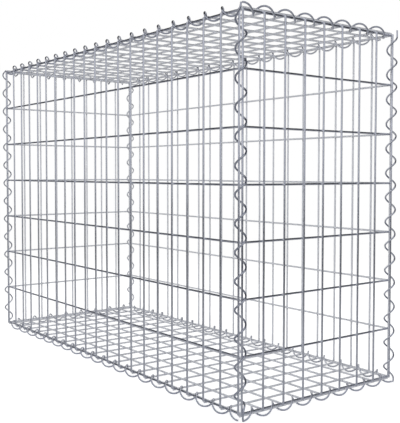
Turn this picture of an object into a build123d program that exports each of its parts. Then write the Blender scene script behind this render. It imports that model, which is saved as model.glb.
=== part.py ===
from build123d import *

import os
from math import cos, hypot, pi, radians, sin, sqrt

# An empty gabion basket: six panels of welded wire mesh, laced together along all
# twelve edges by wire spirals. Millimetres, Z up. The origin is on the ground under
# the middle of the basket, X runs along the length and the front faces -Y.

# Overall sizes, from centre to centre of the outermost wires
LENGTH = 1000.0
DEPTH = 400.0
HEIGHT = 700.0

# Mesh
MESH = 50.0  # spacing of the uprights, and of both sets of wires in lid and base
ROW = 100.0  # spacing of the horizontals in the four walls
WIRE = 4.0  # diameter of the mesh wire
TRIM = 0.7  # how far a horizontal is cut off short of the centre of its last upright
STUB = 2.0  # how far an upright or a cross wire is cut off past its last crossing

# Lacing spirals
SPIRAL_WIRE = 3.5  # diameter of the spiral's wire
SPIRAL_OUTER = 23.0  # diameter over the turns
SPIRAL_PITCH = 50.0  # advance of one turn
STEP = 45  # degrees from one bend of a turn to the next

# How far the four upright spirals are screwed round, in degrees anticlockwise from
# +X at the lowest wire, by corner: (side along X, side along Y)
UPRIGHT_TURN = {(1, -1): -8, (-1, -1): -56, (1, 1): 70, (-1, 1): 213}

# Their ends, where they are not just bent in. The bottom end is given from the lowest
# wire and the top end from the highest, each as points on the way out of the regular
# turns: degrees, height, and how far it is squeezed, from 0 (not) to 1 (on to the posts)
UPRIGHT_BOTTOM = {
    (1, -1): [(143, 22.5, 0.1), (98, 19.5, 0.35), (53, 14.5, 0.55), (28, 8, 0.75), (18, 0, 0.95), (22, -9.4, 1.05)],
    (1, 1): [(-25, -3.5, 0), (-60, -10.2, 0)],
}
UPRIGHT_TOP = {
    (1, -1): [(-60, -5.5, 0), (-40, 2, 0), (-32, 9.5, 0)],
    (-1, -1): [(6, 0.8, 0), (26, 4.5, 0)],
    (1, 1): [(-45, -6, 0), (-30, -1, 0), (-20, 10.5, 0)],
}

# Spirals along the edges: how many degrees past the first corner they start, and how
# many before the last corner they end. Each has a crest at both corners, and the base
# is the mirror image of the lid. A tip on the inside of the basket is bent in.
EDGE_ENDS = {
    "front_top": (90, 90),
    "back_top": (90, 180),
    "left_top": (90, 180),
    "right_top": (0, 90),
    "front_bottom": (90, 12),
    "back_bottom": (180, 90),
    "left_bottom": (180, 90),
    "right_bottom": (12, -38),
}

# All spirals are wound like a right-hand screw, but for these
LEFT_HANDED = ("left_bottom", "right_bottom")

# Clearance between two panels, and between a spiral's tip and the wire it is bent on to
CLEAR = 0.4

# A wire is drawn with four sides and the area of the round one
SIDE = WIRE * sqrt(pi) / 2
SPIRAL_SIDE = SPIRAL_WIRE * sqrt(pi) / 2

# Each panel has two layers of wires, welded where they cross, so their centres are a
# wire's side apart. Distances from the middle of the basket:
WALL_IN = DEPTH / 2
WALL_OUT = WALL_IN + SIDE
END_IN = LENGTH / 2 - TRIM + CLEAR + SIDE / 2
END_OUT = END_IN + SIDE
LID_OUT = HEIGHT + SIDE + CLEAR
LID_IN = LID_OUT - SIDE
LID_EDGE = WALL_IN - SIDE - CLEAR

# The bundle of wires that a spiral runs round, as its lowest and highest edge
WALL_BUNDLE = (LID_EDGE - SIDE / 2, WALL_OUT + SIDE / 2)
END_BUNDLE = (LENGTH / 2 - SIDE / 2, END_OUT + SIDE / 2)
LID_BUNDLE = (HEIGHT - SIDE / 2, LID_OUT + SIDE / 2)
POST_BUNDLE_X = (LENGTH / 2 - SIDE / 2, END_OUT + SIDE / 2)
POST_BUNDLE_Y = (WALL_IN - SIDE / 2, WALL_OUT + SIDE / 2)


def middle(bundle):
    return sum(bundle) / 2


def reach(bundle):
    return (bundle[1] - bundle[0]) / 2


# Radius of the spirals' wire. However thick the mesh wire is, the turns clear the
# corners of the widest bundle.
WIDEST = hypot(reach(WALL_BUNDLE), reach(LID_BUNDLE)) + CLEAR + SPIRAL_SIDE / 2
TURN = max((SPIRAL_OUTER - SPIRAL_SIDE) / 2, WIDEST / cos(radians(STEP / 2)))

# The basket stands on the lowest turns of the spirals along its base
GROUND = HEIGHT - middle(LID_BUNDLE) - TURN - SPIRAL_SIDE / 2


def cells(size, spacing):
    """Number of whole cells that fill a size at about the given spacing."""
    return max(2, round(size / spacing))


def places(size, spacing):
    """Places of the wires over a size, centred on zero."""
    count = cells(size, spacing)
    return [size * (i / count - 0.5) for i in range(count + 1)]


def bar(x, y, z, direction, length):
    """A straight wire through a point, centred on it."""
    plane = Plane((x, y, z), z_dir=direction, x_dir=(0, 1, 0) if direction[0] else (1, 0, 0))
    return extrude(plane * Rectangle(SIDE, SIDE), amount=length / 2, both=True)


def welded(first, second):
    """One solid of two layers of wires that touch where they cross."""
    return Part() + first + second


def wall_panel(side):
    """Front or back: uprights outside, horizontals inside. The side is -1 or 1 along Y."""
    rows = [HEIGHT / 2 + z for z in places(HEIGHT, ROW)]
    inner = [bar(0, side * WALL_IN, z, (1, 0, 0), LENGTH - 2 * TRIM) for z in rows]
    outer = [bar(x, side * WALL_OUT, HEIGHT / 2, (0, 0, 1), HEIGHT + 2 * STUB) for x in places(LENGTH, MESH)]
    return welded(inner, outer)


def end_panel(side):
    """Left or right end: uprights outside, horizontals inside. The side is -1 or 1 along X."""
    rows = [HEIGHT / 2 + z for z in places(HEIGHT, ROW)]
    inner = [bar(side * END_IN, 0, z, (0, 1, 0), DEPTH - 2 * TRIM) for z in rows]
    outer = [bar(side * END_OUT, y, HEIGHT / 2, (0, 0, 1), HEIGHT + 2 * STUB) for y in places(DEPTH, MESH)]
    return welded(inner, outer)


def flat_panel(side):
    """Lid (side 1) or base (side -1): cross wires outside, long wires inside."""
    def level(z):
        return HEIGHT / 2 + side * (z - HEIGHT / 2)

    long_places = [max(-LID_EDGE, min(LID_EDGE, y)) for y in places(DEPTH, MESH)]
    inner = [bar(0, y, level(LID_IN), (1, 0, 0), LENGTH - 2 * TRIM) for y in long_places]
    outer = [bar(x, 0, level(LID_OUT), (0, 1, 0), DEPTH + 2 * STUB) for x in places(LENGTH, MESH)]
    return welded(inner, outer)


def bent_in(near, other):
    """Radius at a tip that grips a bundle, whose reach is `near` towards the tip.

    The wire comes from a bend at the full radius and passes a clearance away from the
    bundle's corner, which is `other` to the side.
    """
    bend = TURN * cos(radians(STEP))
    over_corner = (near + SPIRAL_SIDE / 2 + CLEAR - other) / (1 - other / bend)
    return max(near + CLEAR + SPIRAL_SIDE / 2, over_corner)


def regular(first, last):
    """Bends of the regular turns, strictly between two angles."""
    return [a for a in range(-360, last, STEP) if first < a]


def spiral(axis, course):
    """A wire bent round the Z axis of a plane: each bend is its angle, height and radius."""
    half = SPIRAL_SIDE / 2
    centres, rings = [], []
    for angle, height, r in course:
        centres.append(Vector(r * cos(radians(angle)), r * sin(radians(angle)), height))
    for i, (angle, _, r) in enumerate(course):
        out = Vector(cos(radians(angle)), sin(radians(angle)), 0)
        ahead = centres[min(i + 1, len(centres) - 1)] - centres[max(i - 1, 0)]
        across = ahead.cross(out).normalized()
        rings.append([centres[i] + out * u * half + across * v * half for u, v in ((1, 1), (-1, 1), (-1, -1), (1, -1))])
    faces = [Face(Wire.make_polygon(rings[0])), Face(Wire.make_polygon(rings[-1]))]
    for here, there in zip(rings, rings[1:]):
        for k in range(4):
            a, b, c, d = here[k], here[(k + 1) % 4], there[(k + 1) % 4], there[k]
            if (c - a).length > (d - b).length:
                a, b, c, d = b, c, d, a
            faces.append(Face(Wire.make_polygon([a, b, c])))
            faces.append(Face(Wire.make_polygon([a, c, d])))
    return axis.location * Solid(Shell(faces))


def edge_spiral(name, along, size, sides):
    """A spiral along a long edge (along X) or a short edge (along Y) of lid or base.

    The outermost point of each turn, up on the lid and down on the base, stands at a
    cross wire.
    """
    side, level = sides
    z = HEIGHT / 2 + level * (middle(LID_BUNDLE) - HEIGHT / 2)
    if along == "x":
        plane = Plane((-size / 2, side * middle(WALL_BUNDLE), z), x_dir=(0, 1, 0), z_dir=(1, 0, 0))
        crest, inside, across = 90 * level, 0 if side < 0 else 180, reach(WALL_BUNDLE)
    else:
        plane = Plane((side * middle(END_BUNDLE), -size / 2, z), x_dir=(1, 0, 0), z_dir=(0, 1, 0))
        crest, inside, across = -90 * level, 180 if side > 0 else 0, reach(END_BUNDLE)
    count = cells(size, MESH)
    turns = count * max(1, round(size / count / SPIRAL_PITCH))
    flat = reach(LID_BUNDLE)
    tips = {inside: bent_in(across, flat), (crest + 180) % 360: bent_in(flat, across)}
    hand = -1 if name in LEFT_HANDED else 1
    first, last = EDGE_ENDS[name][0], 360 * turns - EDGE_ENDS[name][1]

    def bend(a):
        angle = crest + hand * a
        return (angle, size * a / 360 / turns, tips.get(angle % 360, TURN) if a in (first, last) else TURN)

    return spiral(plane, [bend(a) for a in [first] + regular(first, last) + [last]])


def corner_spiral(corner):
    """An upright spiral round the two edge wires of a corner."""
    x, y = corner
    turned = UPRIGHT_TURN[corner]
    count = cells(HEIGHT, ROW)
    turns = count * max(1, round(HEIGHT / count / SPIRAL_PITCH))
    whole = turned + 360 * turns
    deep, wide = reach(POST_BUNDLE_Y), reach(POST_BUNDLE_X)
    tips = {0: bent_in(wide, deep), 90: bent_in(deep, wide), 180: bent_in(wide, deep), 270: bent_in(deep, wide)}
    squeezed = wide + CLEAR + SPIRAL_SIDE / 2

    def end(points, angle, height):
        return [(angle + a, height + z, TURN + (squeezed - TURN) * s) for a, z, s in points]

    bottom = end(UPRIGHT_BOTTOM.get(corner, []), turned, 0)[::-1]
    top = end(UPRIGHT_TOP.get(corner, []), whole, HEIGHT)
    first = bottom[-1][0] if bottom else 90 * -(-turned // 90)
    last = top[0][0] if top else 90 * (whole // 90)

    def on_turn(angle, radius=TURN):
        return (angle, HEIGHT * (angle - turned) / 360 / turns, radius)

    course = bottom or [on_turn(first, tips[first % 360])]
    course += [on_turn(a) for a in regular(first + STEP / 3, last - STEP // 3)]
    course += top or [on_turn(last, tips[last % 360])]
    plane = Plane((x * middle(POST_BUNDLE_X), y * middle(POST_BUNDLE_Y), 0))
    return spiral(plane, course)


basket = {
    "front_panel": wall_panel(-1),
    "back_panel": wall_panel(1),
    "left_end_panel": end_panel(-1),
    "right_end_panel": end_panel(1),
    "lid_panel": flat_panel(1),
    "base_panel": flat_panel(-1),
}
for x, end in ((-1, "left"), (1, "right")):
    for y, face in ((-1, "front"), (1, "back")):
        basket[f"spiral_{face}_{end}"] = corner_spiral((x, y))
for level, name in ((-1, "bottom"), (1, "top")):
    for side, face in ((-1, "front"), (1, "back")):
        basket[f"spiral_{face}_{name}"] = edge_spiral(f"{face}_{name}", "x", LENGTH, (side, level))
    for side, end in ((-1, "left"), (1, "right")):
        basket[f"spiral_{end}_{name}"] = edge_spiral(f"{end}_{name}", "y", DEPTH, (side, level))

os.makedirs("parts", exist_ok=True)
for name, piece in basket.items():
    export_step(Pos(0, 0, -GROUND) * piece, f"parts/{name}.step")
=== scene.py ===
from math import cos, pi, radians, sin, sqrt

import bpy
import numpy as np
from mathutils import Matrix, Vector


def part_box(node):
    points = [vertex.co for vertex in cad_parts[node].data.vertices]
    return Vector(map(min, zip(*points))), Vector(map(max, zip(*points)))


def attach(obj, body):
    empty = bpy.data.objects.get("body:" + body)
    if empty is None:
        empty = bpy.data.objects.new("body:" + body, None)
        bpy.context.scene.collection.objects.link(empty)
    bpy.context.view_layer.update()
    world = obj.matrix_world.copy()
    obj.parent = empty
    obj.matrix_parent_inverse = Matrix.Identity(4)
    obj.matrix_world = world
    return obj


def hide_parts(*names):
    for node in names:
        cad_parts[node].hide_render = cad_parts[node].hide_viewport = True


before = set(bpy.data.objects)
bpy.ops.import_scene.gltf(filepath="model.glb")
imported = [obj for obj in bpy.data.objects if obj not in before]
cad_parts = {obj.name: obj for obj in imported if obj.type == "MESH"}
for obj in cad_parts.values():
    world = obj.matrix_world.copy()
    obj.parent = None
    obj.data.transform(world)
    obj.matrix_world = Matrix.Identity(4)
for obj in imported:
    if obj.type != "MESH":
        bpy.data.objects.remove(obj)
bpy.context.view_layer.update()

# An empty gabion basket: six welded mesh panels laced along all twelve edges by
# wire spirals. Sizes are in millimetres here, and meshes are written in metres.
MM = 0.001

LENGTH = 1000.0  # between the centres of the outermost wires
DEPTH = 400.0
HEIGHT = 700.0
MESH = 50.0  # spacing of the uprights, and of all wires in lid and base
ROW = 100.0  # spacing of the horizontals in the four walls
WIRE = 4.0
TRIM = 0.7  # a horizontal ends this far short of the centre of its last upright
STUB = 2.0  # an upright or a cross wire ends this far past its last crossing
CLEAR = 0.4

SPIRAL_WIRE = 3.5
SPIRAL_OUTER = 23.0  # over the turns
SPIRAL_PITCH = 50.0
STEP = 45  # degrees from one point of a spiral's course to the next

# By corner of the basket, (side along X, side along Y): how far the upright spirals
# are turned, and the points of their end turns as degrees, height and squeeze
UPRIGHT_TURN = {(1, -1): -8, (-1, -1): -56, (1, 1): 70, (-1, 1): 213}
UPRIGHT_BOTTOM = {
    (1, -1): [(143, 22.5, 0.1), (98, 19.5, 0.35), (53, 14.5, 0.55),
              (28, 8, 0.75), (18, 0, 0.95), (22, -9.4, 1.05)],
    (1, 1): [(-25, -3.5, 0), (-60, -10.2, 0)],
}
UPRIGHT_TOP = {
    (1, -1): [(-60, -5.5, 0), (-40, 2, 0), (-32, 9.5, 0)],
    (-1, -1): [(6, 0.8, 0), (26, 4.5, 0)],
    (1, 1): [(-45, -6, 0), (-30, -1, 0), (-20, 10.5, 0)],
}
# Degrees from the first corner to a spiral's start and from its end to the last corner.
# A negative end runs on past that corner.
EDGE_ENDS = {
    "front_top": (90, 90),
    "back_top": (90, 180),
    "left_top": (90, 180),
    "right_top": (0, 90),
    "front_bottom": (90, 12),
    "back_bottom": (180, 90),
    "left_bottom": (180, 90),
    "right_bottom": (12, -38),
}
LEFT_HANDED = ("left_bottom", "right_bottom")

# The two layers of a panel are pressed into each other where they are welded, so
# their centres are less than a diameter apart
SINK = WIRE * (1 - sqrt(pi) / 2)
LAYER = WIRE - SINK

WALL_IN = DEPTH / 2
WALL_OUT = WALL_IN + LAYER
END_IN = LENGTH / 2 - TRIM + CLEAR + LAYER / 2
END_OUT = END_IN + LAYER
LID_OUT = HEIGHT + LAYER + CLEAR
LID_IN = LID_OUT - LAYER
LID_EDGE = WALL_IN - LAYER - CLEAR

WALL_BUNDLE = (LID_EDGE - LAYER / 2, WALL_OUT + LAYER / 2)
END_BUNDLE = (LENGTH / 2 - LAYER / 2, END_OUT + LAYER / 2)
LID_BUNDLE = (HEIGHT - LAYER / 2, LID_OUT + LAYER / 2)
POST_BUNDLE_Y = (WALL_IN - LAYER / 2, WALL_OUT + LAYER / 2)

# Height of the lowest crossing over the ground
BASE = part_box("front_panel")[0].z / MM + STUB

FULL = (SPIRAL_OUTER - SPIRAL_WIRE) / 2  # radius of the spirals' course

# Detail of the wires
SIDES = 12  # sides of a wire
FINER = 4  # rings of a spiral from one point of its course to the next
WIRE_END = ((0, 0.62), (0.35, 0.9), (1.0, 1.0))  # way from the end, share of the radius
SPIRAL_END = (0.5, 0.68)  # length of a spiral's rounded tip, share of the radius there
SWAY = 0.12  # waviness of a drawn wire
BEAD_REACH = (2.35, 2.75)  # least and greatest half width of a weld
BEAD_HEIGHT = (1.15, 1.5)
BEAD_UNEVEN = 0.06
BEAD_SIDES = 10
BEAD_LEVELS = (-75, -45, -15, 15, 45, 75)  # degrees from its waist

# How dull the zinc is, from 0 to 1
WIRE_DULL = 0.25  # at most
SPIRAL_DULL = 0.1
BEAD_DULL = 1.0

# The side of each wire that faces the inside of the basket is painted paler and less
# metallic, as painted light: the least share of a direction towards the inside that
# counts, and how much more makes it fully pale
WALL_PAINTED_LIGHT_FROM, FLAT_PAINTED_LIGHT_FROM, SPIRAL_PAINTED_LIGHT_FROM = -0.25, -0.85, 0.1
PAINTED_LIGHT_FADE = 0.5


class Shape:
    """Collects vertices and faces, in millimetres, for wires of one panel or spiral.

    Each vertex also says how dull it is, and from 0 to 1 how much it faces inwards, which
    the material paints paler as painted light. The least share of that direction that
    counts is named at the top.
    """

    def __init__(self, inwards, least):
        self.points, self.faces, self.dull, self.inner = [], [], [], []
        self.inwards = np.array(inwards, float) / np.linalg.norm(inwards)
        self.least = least

    def loft(self, rings, dull, centre=None):
        """A closed skin over rings of equally many points.

        It faces away from the middle of each ring, or from a centre of its own.
        """
        start, n = len(self.points), len(rings[0])
        for ring in rings:
            around = np.array(ring) - (np.mean(ring, axis=0) if centre is None else centre)
            facing = around @ self.inwards / np.linalg.norm(around, axis=1)
            part = np.clip((facing - self.least) / PAINTED_LIGHT_FADE, 0, 1)
            self.inner.extend((part * part * (3 - 2 * part)).tolist())
            self.points.extend(ring)
            self.dull.extend([dull] * n)
        for i in range(len(rings) - 1):
            here = start + i * n
            for k in range(n):
                m = (k + 1) % n
                self.faces.append((here + k, here + m, here + n + m, here + n + k))
        self.faces.append(tuple(start + k for k in reversed(range(n))))
        last = start + (len(rings) - 1) * n
        self.faces.append(tuple(last + k for k in range(n)))

    def build(self, name, node, material):
        points = (np.array(self.points) + (0, 0, BASE)) * MM
        mesh = bpy.data.meshes.new(name)
        mesh.from_pydata(points.tolist(), [], self.faces)
        mesh.polygons.foreach_set("use_smooth", [len(f) == 4 for f in self.faces])
        for label, values in (("dull", self.dull), ("inner", self.inner)):
            mesh.attributes.new(label, "FLOAT", "POINT").data.foreach_set("value", values)
        mesh.materials.append(material)
        mesh.update()
        piece = bpy.data.objects.new(name, mesh)
        bpy.context.scene.collection.objects.link(piece)
        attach(piece, "root")
        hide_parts(node)
        return piece


ANGLES = [2 * pi * k / SIDES for k in range(SIDES)]


def ring(centre, across, up, radius):
    return [centre + radius * (cos(a) * across + sin(a) * up) for a in ANGLES]


def straight(shape, rng, start, end, spacing):
    """A straight wire with rounded ends, and the slight waviness of drawn wire."""
    start, end = np.array(start, float), np.array(end, float)
    length = np.linalg.norm(end - start)
    ahead = (end - start) / length
    across = np.array([1.0, 0, 0]) if abs(ahead[2]) > 0.5 else np.array([0, 0, 1.0])
    up = np.cross(ahead, across)
    steps = max(2, round(length / spacing))
    stations = [*WIRE_END, *((length * i / steps, 1) for i in range(1, steps)),
                *((length - way, share) for way, share in reversed(WIRE_END))]
    sway = rng.uniform(-SWAY, SWAY, (len(stations), 2))
    sway[:len(WIRE_END)] = sway[-len(WIRE_END):] = 0
    rings = [ring(start + ahead * way + across * u + up * v, across, up, share * WIRE / 2)
             for (way, share), (u, v) in zip(stations, sway)]
    shape.loft(rings, rng.uniform(0, WIRE_DULL))


def weld(shape, rng, centre, normal, first, second):
    """The squeezed-out metal where two wires are welded together."""
    centre, normal = np.array(centre, float), np.array(normal, float)
    first, second = np.array(first, float), np.array(second, float)
    turn = rng.uniform(0, pi)
    across = cos(turn) * first + sin(turn) * second
    up = np.cross(normal, across)
    a, b = rng.uniform(*BEAD_REACH, 2)
    c = rng.uniform(*BEAD_HEIGHT)
    bumps = 1 + rng.uniform(-BEAD_UNEVEN, BEAD_UNEVEN, BEAD_SIDES)
    turns = [2 * pi * k / BEAD_SIDES for k in range(BEAD_SIDES)]
    rings = []
    for level in BEAD_LEVELS:
        w, h = cos(radians(level)), sin(radians(level))
        rings.append([centre + normal * c * h + (across * a * cos(t) + up * b * sin(t)) * w * bump
                      for t, bump in zip(turns, bumps)])
    shape.loft(rings, BEAD_DULL, (np.mean(rings[0], axis=0) + np.mean(rings[-1], axis=0)) / 2)


def places(size, spacing):
    count = max(2, round(size / spacing))
    return [size * (i / count - 0.5) for i in range(count + 1)]


def lattice(name, node, seed, material, inner, outer, meet, normal):
    """A panel: two layers of wires as (start, end), and the crossings between them."""
    rng = np.random.default_rng(seed)
    shape = Shape(np.negative(normal), FLAT_PAINTED_LIGHT_FROM if normal[2] else WALL_PAINTED_LIGHT_FROM)
    for start, end in inner + outer:
        straight(shape, rng, start, end, MESH)
    first = np.subtract(inner[0][1], inner[0][0])
    second = np.subtract(outer[0][1], outer[0][0])
    first, second = first / np.linalg.norm(first), second / np.linalg.norm(second)
    for centre in meet:
        weld(shape, rng, centre, normal, first, second)
    return shape.build(name, node, material)


def wall_panel(face, side, seed, material):
    rows = [HEIGHT / 2 + z for z in places(HEIGHT, ROW)]
    columns = places(LENGTH, MESH)
    reach, y = LENGTH / 2 - TRIM, side * WALL_IN
    inner = [((-reach, y, z), (reach, y, z)) for z in rows]
    y = side * WALL_OUT
    outer = [((x, y, -STUB), (x, y, HEIGHT + STUB)) for x in columns]
    y = side * (WALL_IN + WALL_OUT) / 2
    meet = [(x, y, z) for x in columns for z in rows]
    lattice(f"{face}_mesh", f"{face}_panel", seed, material, inner, outer, meet, (0, side, 0))


def end_panel(face, side, seed, material):
    rows = [HEIGHT / 2 + z for z in places(HEIGHT, ROW)]
    columns = places(DEPTH, MESH)
    reach, x = DEPTH / 2 - TRIM, side * END_IN
    inner = [((x, -reach, z), (x, reach, z)) for z in rows]
    x = side * END_OUT
    outer = [((x, y, -STUB), (x, y, HEIGHT + STUB)) for y in columns]
    x = side * (END_IN + END_OUT) / 2
    meet = [(x, y, z) for y in columns for z in rows]
    name = f"{face}_end"
    lattice(f"{name}_mesh", f"{name}_panel", seed, material, inner, outer, meet, (side, 0, 0))


def flat_panel(face, side, seed, material):
    def level(z):
        return HEIGHT / 2 + side * (z - HEIGHT / 2)

    long_places = [max(-LID_EDGE, min(LID_EDGE, y)) for y in places(DEPTH, MESH)]
    columns = places(LENGTH, MESH)
    reach, z = LENGTH / 2 - TRIM, level(LID_IN)
    inner = [((-reach, y, z), (reach, y, z)) for y in long_places]
    reach, z = DEPTH / 2 + STUB, level(LID_OUT)
    outer = [((x, -reach, z), (x, reach, z)) for x in columns]
    z = level((LID_IN + LID_OUT) / 2)
    meet = [(x, y, z) for x in columns for y in long_places]
    lattice(f"{face}_mesh", f"{face}_panel", seed, material, inner, outer, meet, (0, 0, side))


def eased(values, finer):
    """More values between the given ones, without overshoot."""
    values = np.array(values, float)
    rise = np.diff(values)
    slope = np.empty(len(values))
    slope[0], slope[-1] = rise[0], rise[-1]
    before, after = rise[:-1], rise[1:]
    total = np.where(before + after == 0, 1, before + after)
    slope[1:-1] = np.where(before * after > 0, 2 * before * after / total, 0)
    found = []
    for i in range(len(rise)):
        for t in np.arange(finer) / finer:
            lift = (2 * t**3 - 3 * t**2) * -rise[i]
            lean = (t**3 - 2 * t**2 + t) * slope[i] + (t**3 - t**2) * slope[i + 1]
            found.append(values[i] + lift + lean)
    return found + [values[-1]]


def spiral(name, material, axes, course, inwards):
    """A wire round an axis. Axes are its origin, zero direction and way on."""
    origin, zero, ahead = (np.array(v, float) for v in axes)
    quarter = np.cross(ahead, zero)
    angles, heights, radii = (eased(values, FINER) for values in zip(*course))
    outs = [cos(radians(a)) * zero + sin(radians(a)) * quarter for a in angles]
    centres = [origin + out * r + ahead * h for out, h, r in zip(outs, heights, radii)]
    forward = np.gradient(centres, axis=0)
    forward /= np.linalg.norm(forward, axis=1)[:, None]
    # A rounded tip has two rings, a narrower one at the end and a full one behind it
    last, (tip, share) = len(centres) - 1, SPIRAL_END
    stations = [(0, 0, share), (0, tip, 1), *((i, 0, 1) for i in range(1, last)),
                (last, -tip, 1), (last, 0, share)]
    rings = []
    for i, shift, share in stations:
        across = np.cross(outs[i], forward[i])
        across /= np.linalg.norm(across)
        up = np.cross(forward[i], across)
        rings.append(ring(centres[i] + forward[i] * shift, across, up, share * SPIRAL_WIRE / 2))
    shape = Shape(inwards, SPIRAL_PAINTED_LIGHT_FROM)
    shape.loft(rings, SPIRAL_DULL)
    return shape.build(name + "_wire", name, material)


def middle(bundle):
    return sum(bundle) / 2


def reach(bundle):
    return (bundle[1] - bundle[0]) / 2


def bent_in(near, other):
    """Radius at a tip that grips a bundle, past whose corner the wire comes."""
    bend = FULL * cos(radians(STEP))
    over_corner = (near + SPIRAL_WIRE / 2 + CLEAR - other) / (1 - other / bend)
    return max(near + CLEAR + SPIRAL_WIRE / 2, over_corner)


def regular(first, last):
    """Angles of the regular points of a course, strictly between two others."""
    return [a for a in range(-360, last, STEP) if first < a]


def edge_spiral(name, material, along, size, side, level):
    """A spiral along a long or short edge of the lid (level 1) or the base (level -1)."""
    z = HEIGHT / 2 + level * (middle(LID_BUNDLE) - HEIGHT / 2)
    if along == "x":
        axes = ((-size / 2, side * middle(WALL_BUNDLE), z), (0, 1, 0), (1, 0, 0))
        crest, inside, across = 90 * level, 0 if side < 0 else 180, reach(WALL_BUNDLE)
    else:
        axes = ((side * middle(END_BUNDLE), -size / 2, z), (1, 0, 0), (0, 1, 0))
        crest, inside, across = -90 * level, 180 if side > 0 else 0, reach(END_BUNDLE)
    turns = round(size / SPIRAL_PITCH)
    flat = reach(LID_BUNDLE)
    tips = {inside: bent_in(across, flat), (crest + 180) % 360: bent_in(flat, across)}
    hand = -1 if name in LEFT_HANDED else 1
    first, last = EDGE_ENDS[name][0], 360 * turns - EDGE_ENDS[name][1]

    def bend(a):
        angle = crest + hand * a
        radius = tips.get(angle % 360, FULL) if a in (first, last) else FULL
        return (angle, size * a / 360 / turns, radius)

    course = [bend(a) for a in [first] + regular(first, last) + [last]]
    inwards = (0, -side, -level) if along == "x" else (-side, 0, -level)
    spiral(f"spiral_{name}", material, axes, course, inwards)


def corner_spiral(name, material, corner):
    """An upright spiral round the two edge wires of a corner."""
    x, y = corner
    turned = UPRIGHT_TURN[corner]
    turns = round(HEIGHT / SPIRAL_PITCH)
    whole = turned + 360 * turns
    deep, wide = reach(POST_BUNDLE_Y), reach(END_BUNDLE)
    tips = {0: bent_in(wide, deep), 90: bent_in(deep, wide)}
    tips |= {180: tips[0], 270: tips[90]}
    squeezed = wide + CLEAR + SPIRAL_WIRE / 2

    def end(points, angle, height):
        return [(angle + a, height + z, FULL + (squeezed - FULL) * s) for a, z, s in points]

    def on_turn(angle, radius=FULL):
        return (angle, HEIGHT * (angle - turned) / 360 / turns, radius)

    bottom = end(UPRIGHT_BOTTOM.get(corner, []), turned, 0)[::-1]
    top = end(UPRIGHT_TOP.get(corner, []), whole, HEIGHT)
    first = bottom[-1][0] if bottom else 90 * -(-turned // 90)
    last = top[0][0] if top else 90 * (whole // 90)
    course = bottom or [on_turn(first, tips[first % 360])]
    course += [on_turn(a) for a in regular(first + STEP // 3, last - STEP // 3)]
    course += top or [on_turn(last, tips[last % 360])]
    axes = ((x * middle(END_BUNDLE), y * middle(POST_BUNDLE_Y), 0), (1, 0, 0), (0, 0, 1))
    spiral(f"spiral_{name}", material, axes, course, (-x, -y, 0))


DULL_TONE = (0.50, 0.52, 0.57)
# Painted light: the inward side of the wires is this metallic, and paler, so that it reads
# brighter
PAINTED_LIGHT_METALLIC = 0.1  # against 1 on the outside
CRYSTALS = 420.0  # over a metre
CLOUDS, PITS = (34.0, 4.0), (1300.0, 3.0)  # scale and detail
BUMP, BUMP_DEPTH = 0.35, 0.00012  # strength, and depth in metres


def galvanised(name, outer, inner, smooth, rough):
    """Zinc-coated wire: small crystals of uneven tone, fine pits and duller welds.

    Outer and inner are each the palest and the darkest tone, for the outward side of
    the wires and for the side that faces the inside of the basket. The inward side's paler,
    less metallic look is painted light.
    """
    material = bpy.data.materials.new(name)
    material.use_nodes = True
    nodes, links = material.node_tree.nodes, material.node_tree.links
    shader = nodes["Principled BSDF"]

    def join(value, socket):
        if isinstance(value, tuple):
            socket.default_value = (*value, 1.0)
        elif isinstance(value, float):
            socket.default_value = value
        else:
            links.new(value, socket)

    def noise(scale, detail):
        node = nodes.new("ShaderNodeTexNoise")
        node.inputs["Scale"].default_value = scale
        node.inputs["Detail"].default_value = detail
        links.new(place, node.inputs["Vector"])
        return node.outputs[0]

    def attribute(label):
        node = nodes.new("ShaderNodeAttribute")
        node.attribute_name = label
        return node.outputs["Fac"]

    def math(operation, a, b):
        node = nodes.new("ShaderNodeMath")
        node.operation = operation
        node.use_clamp = True
        join(a, node.inputs[0])
        join(b, node.inputs[1])
        return node.outputs[0]

    def blend(amount, a, b):
        node = nodes.new("ShaderNodeMix")
        node.data_type = "RGBA"
        for socket, value in zip((node.inputs[0], node.inputs[6], node.inputs[7]), (amount, a, b)):
            join(value, socket)
        return node.outputs[2]

    def scaled(amount, low, high):
        node = nodes.new("ShaderNodeMapRange")
        node.inputs["To Min"].default_value = low
        node.inputs["To Max"].default_value = high
        links.new(amount, node.inputs["Value"])
        return node.outputs[0]

    place = nodes.new("ShaderNodeTexCoord").outputs["Object"]
    crystals = nodes.new("ShaderNodeTexVoronoi")
    crystals.inputs["Scale"].default_value = CRYSTALS
    links.new(place, crystals.inputs["Vector"])
    grains = nodes.new("ShaderNodeSeparateColor")
    links.new(crystals.outputs["Color"], grains.inputs[0])
    clouds, pits = noise(*CLOUDS), noise(*PITS)
    dull, inside = attribute("dull"), attribute("inner")

    mottle = math("ADD", math("MULTIPLY", grains.outputs[0], 0.45), math("MULTIPLY", clouds, 0.55))
    # Painted light: the side facing the inside of the basket takes the paler inner tones, less
    # veil, less metal and more roughness
    colour = blend(inside, blend(mottle, outer[1], outer[0]), blend(mottle, inner[1], inner[0]))
    veil = math("MULTIPLY", dull, scaled(inside, 0.5, 0.15))
    join(blend(veil, colour, DULL_TONE), shader.inputs["Base Color"])
    join(scaled(inside, 1.0, PAINTED_LIGHT_METALLIC), shader.inputs["Metallic"])
    rougher = math("ADD", math("MULTIPLY", dull, 0.12), math("MULTIPLY", inside, 0.2))
    join(math("ADD", scaled(mottle, smooth, rough), rougher), shader.inputs["Roughness"])

    bump = nodes.new("ShaderNodeBump")
    bump.inputs["Strength"].default_value = BUMP
    bump.inputs["Distance"].default_value = BUMP_DEPTH
    relief = math("ADD", math("MULTIPLY", pits, 0.6), math("MULTIPLY", grains.outputs[1], 0.4))
    join(relief, bump.inputs["Height"])
    join(bump.outputs[0], shader.inputs["Normal"])
    return material


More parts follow.
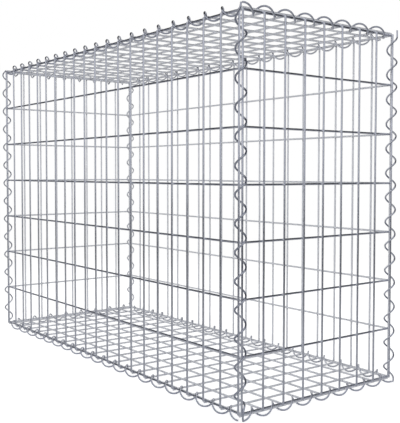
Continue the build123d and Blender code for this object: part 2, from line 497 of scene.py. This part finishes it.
# In each material the second pair of tones is the painted light of the inward side
mesh_wire = galvanised("mesh_wire", ((0.54, 0.56, 0.64), (0.40, 0.42, 0.49)),
                       ((0.91, 0.93, 0.98), (0.83, 0.85, 0.91)), 0.13, 0.22)
spiral_wire = galvanised("spiral_wire", ((0.44, 0.46, 0.54), (0.29, 0.31, 0.38)),
                         ((0.86, 0.88, 0.95), (0.75, 0.77, 0.84)), 0.10, 0.17)

wall_panel("front", -1, 1, mesh_wire)
wall_panel("back", 1, 2, mesh_wire)
end_panel("left", -1, 3, mesh_wire)
end_panel("right", 1, 4, mesh_wire)
flat_panel("lid", 1, 5, mesh_wire)
flat_panel("base", -1, 6, mesh_wire)
for x, end in ((-1, "left"), (1, "right")):
    for y, face in ((-1, "front"), (1, "back")):
        corner_spiral(f"{face}_{end}", spiral_wire, (x, y))
for level, name in ((-1, "bottom"), (1, "top")):
    for side, face in ((-1, "front"), (1, "back")):
        edge_spiral(f"{face}_{name}", spiral_wire, "x", LENGTH, side, level)
    for side, end in ((-1, "left"), (1, "right")):
        edge_spiral(f"{end}_{name}", spiral_wire, "y", DEPTH, side, level)

# Camera
AZIMUTH, TILT, ROLL = radians(52.683), radians(2.32), radians(0.0422)
EYE = (1466.44, -1024.28, 420.12)  # from the lowest crossing
FOCAL = 735.86  # in pixels of the photograph
TALL = 423  # pixels of the photograph from top to bottom
CENTRE_Y = 203.0  # pixel row of the optical axis

look = np.array([-sin(AZIMUTH) * cos(TILT), cos(AZIMUTH) * cos(TILT), -sin(TILT)])
right = np.array([cos(AZIMUTH), sin(AZIMUTH), 0])
up = np.cross(right, look)
right, up = cos(ROLL) * right + sin(ROLL) * up, cos(ROLL) * up - sin(ROLL) * right
lens = bpy.data.cameras.new("camera")
lens.sensor_width = 36.0
lens.lens = FOCAL * lens.sensor_width / TALL
lens.shift_y = (CENTRE_Y - TALL / 2) / TALL
camera = bpy.data.objects.new("camera", lens)
bpy.context.scene.collection.objects.link(camera)
eye = (np.array(EYE) + (0, 0, BASE)) * MM
rows = [(right[i], up[i], -look[i], eye[i]) for i in range(3)]
camera.matrix_world = Matrix(rows + [(0, 0, 0, 1)])
bpy.context.scene.camera = camera

# Studio: a broad soft source on the viewer's side, two smaller ones on the far sides, dim
# elsewhere. The camera sees white, and metal mirrors the white of the backdrop only
# within a cone behind the basket, so that the near horizontals stay dark.
BRIGHT, DIM = 1.0, 0.05
SWING = radians(15)  # of the source to the viewer's left, so the horizontals miss it
# Half angles in degrees at which a zone has faded and at which it is full
SOURCE, FAR_SIDE, LEFT_SIDE, BACKDROP = (84, 74), (38, 30), (22, 17), (34, 22)
world = bpy.data.worlds.new("studio")
bpy.context.scene.world = world
world.use_nodes = True
nodes, links = world.node_tree.nodes, world.node_tree.links


def zone(direction, edge, full):
    """One inside a cone of directions, fading to zero between two half angles."""
    dot = nodes.new("ShaderNodeVectorMath")
    dot.operation = "DOT_PRODUCT"
    links.new(nodes.new("ShaderNodeTexCoord").outputs["Generated"], dot.inputs[0])
    dot.inputs[1].default_value = direction
    fade = nodes.new("ShaderNodeMapRange")
    fade.interpolation_type = "SMOOTHSTEP"
    fade.inputs["From Min"].default_value = cos(radians(edge))
    fade.inputs["From Max"].default_value = cos(radians(full))
    links.new(dot.outputs["Value"], fade.inputs["Value"])
    return fade.outputs[0]


def combine(tree, operation, a, b):
    node = tree.nodes.new("ShaderNodeMath")
    node.operation = operation
    for socket, value in zip(node.inputs, (a, b)):
        if isinstance(value, (int, float)):
            socket.default_value = value
        else:
            tree.links.new(value, socket)
    return node.outputs[0]


def ray_kinds(tree):
    """One for camera rays, and one for the rays by which metal and glass see."""
    path = tree.nodes.new("ShaderNodeLightPath").outputs
    return path["Is Camera Ray"], combine(
        tree, "MAXIMUM", path["Is Glossy Ray"], path["Is Transmission Ray"])


tree = world.node_tree
source = zone(tuple(-look * cos(SWING) - right * sin(SWING)), *SOURCE)
sides = combine(tree, "MAXIMUM", zone((0, 1, 0), *FAR_SIDE), zone((-1, 0, 0), *LEFT_SIDE))
backdrop = zone(tuple(look), *BACKDROP)
direct, reflected = ray_kinds(tree)
shown = combine(tree, "MAXIMUM", direct, combine(tree, "MULTIPLY", reflected, backdrop))
lit = combine(tree, "MAXIMUM", shown, combine(tree, "MAXIMUM", source, sides))
strength = combine(tree, "ADD", combine(tree, "MULTIPLY", lit, BRIGHT - DIM), DIM)
links.new(strength, nodes["Background"].inputs["Strength"])
nodes["Background"].inputs["Color"].default_value = (1, 1, 1, 1)

# Floor: pale and matt, with a glow for the camera that brings it to white but keeps the
# basket's faint shadow. Further out the camera sees plain white. Metal mirrors little of
# either, and for light that bounces the floor is matt all over.
FLOOR_TONE = 0.9
FLOOR_GLOW = 0.75
FLOOR_MIRRORED = 0.15
FLOOR_REACH = 12.0  # metres to an edge
WHITE_FROM, WHITE_TO = 0.9, 2.2  # metres from the middle

corners = [(x * FLOOR_REACH, y * FLOOR_REACH, 0) for x, y in ((-1, -1), (1, -1), (1, 1), (-1, 1))]
floor_mesh = bpy.data.meshes.new("floor")
floor_mesh.from_pydata(corners, [], [(0, 1, 2, 3)])
floor = bpy.data.objects.new("floor", floor_mesh)
bpy.context.scene.collection.objects.link(floor)

pale = bpy.data.materials.new("floor")
pale.use_nodes = True
tree = pale.node_tree
nodes, links = tree.nodes, tree.links
nodes.remove(nodes["Principled BSDF"])
direct, reflected = ray_kinds(tree)
seen = combine(tree, "MAXIMUM", direct, combine(tree, "MULTIPLY", reflected, FLOOR_MIRRORED))

matt = nodes.new("ShaderNodeBsdfDiffuse")
matt.inputs["Color"].default_value = (FLOOR_TONE, FLOOR_TONE, FLOOR_TONE, 1)
glow = nodes.new("ShaderNodeEmission")
links.new(combine(tree, "MULTIPLY", seen, FLOOR_GLOW), glow.inputs["Strength"])
near = nodes.new("ShaderNodeAddShader")
links.new(matt.outputs[0], near.inputs[0])
links.new(glow.outputs[0], near.inputs[1])
white = nodes.new("ShaderNodeEmission")
links.new(seen, white.inputs["Strength"])

distance = nodes.new("ShaderNodeVectorMath")
distance.operation = "LENGTH"
links.new(nodes.new("ShaderNodeTexCoord").outputs["Object"], distance.inputs[0])
away = nodes.new("ShaderNodeMapRange")
away.interpolation_type = "SMOOTHSTEP"
away.inputs["From Min"].default_value = WHITE_FROM
away.inputs["From Max"].default_value = WHITE_TO
links.new(distance.outputs["Value"], away.inputs["Value"])
far = nodes.new("ShaderNodeMixShader")
whitened = combine(tree, "MULTIPLY", away.outputs[0], combine(tree, "MAXIMUM", direct, reflected))
links.new(whitened, far.inputs[0])
links.new(near.outputs[0], far.inputs[1])
links.new(white.outputs[0], far.inputs[2])
links.new(far.outputs[0], nodes["Material Output"].inputs["Surface"])
floor_mesh.materials.append(pale)

bpy.context.scene.view_settings.view_transform = "Standard"
